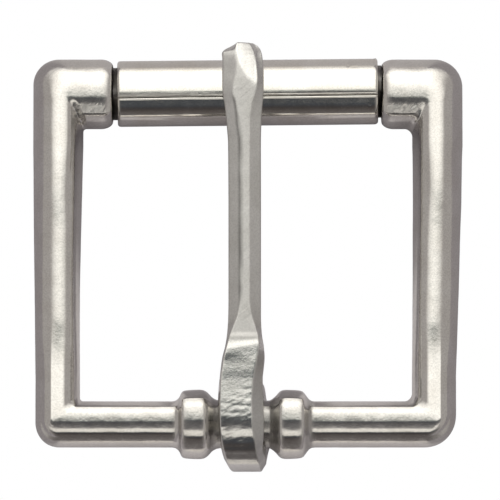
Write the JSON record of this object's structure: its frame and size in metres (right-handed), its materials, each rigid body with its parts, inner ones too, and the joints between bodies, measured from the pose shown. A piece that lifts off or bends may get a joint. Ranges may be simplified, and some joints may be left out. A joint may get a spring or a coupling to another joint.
{
  "type": "roller buckle",
  "caption": "Square cast roller buckle with a hinged prong between two collars on the strap bar and a loose rolled-sheet roller on the opposite bar, nickel plated.",
  "frame": {"origin": "on the axis of the strap bar, midway between the side bars", "axes": "+X along the strap bar, +Y from the strap bar to the roller, +Z out of the front, where the tongue lies"},
  "size_m": [0.05, 0.0501, 0.0115],
  "materials": {
    "cast_nickel": "nickel plate over a cast frame, satin with a fine cast grain",
    "roller_nickel": "bright nickel plate over rolled sheet, with light draw lines and small pits",
    "tongue_nickel": "nickel plate over a forged and bent prong, satin with hammered ripples at the eye"
  },
  "bodies": {
    "frame": {"frame": "cast_nickel"},
    "roller": {"roller": "roller_nickel"},
    "tongue": {"tongue": "tongue_nickel"}
  },
  "joints": [
    {"name": "roller_spin", "type": "hinge", "parent": "frame", "child": "roller", "pos_m": [0, 0.03893, 0], "axis": [1, 0.0099, 0], "continuous": true},
    {"name": "tongue_swing", "type": "hinge", "parent": "frame", "child": "tongue", "pos_m": [0, 0, 0], "axis": [1, 0, 0], "range_deg": [0, 178]}
  ]
}
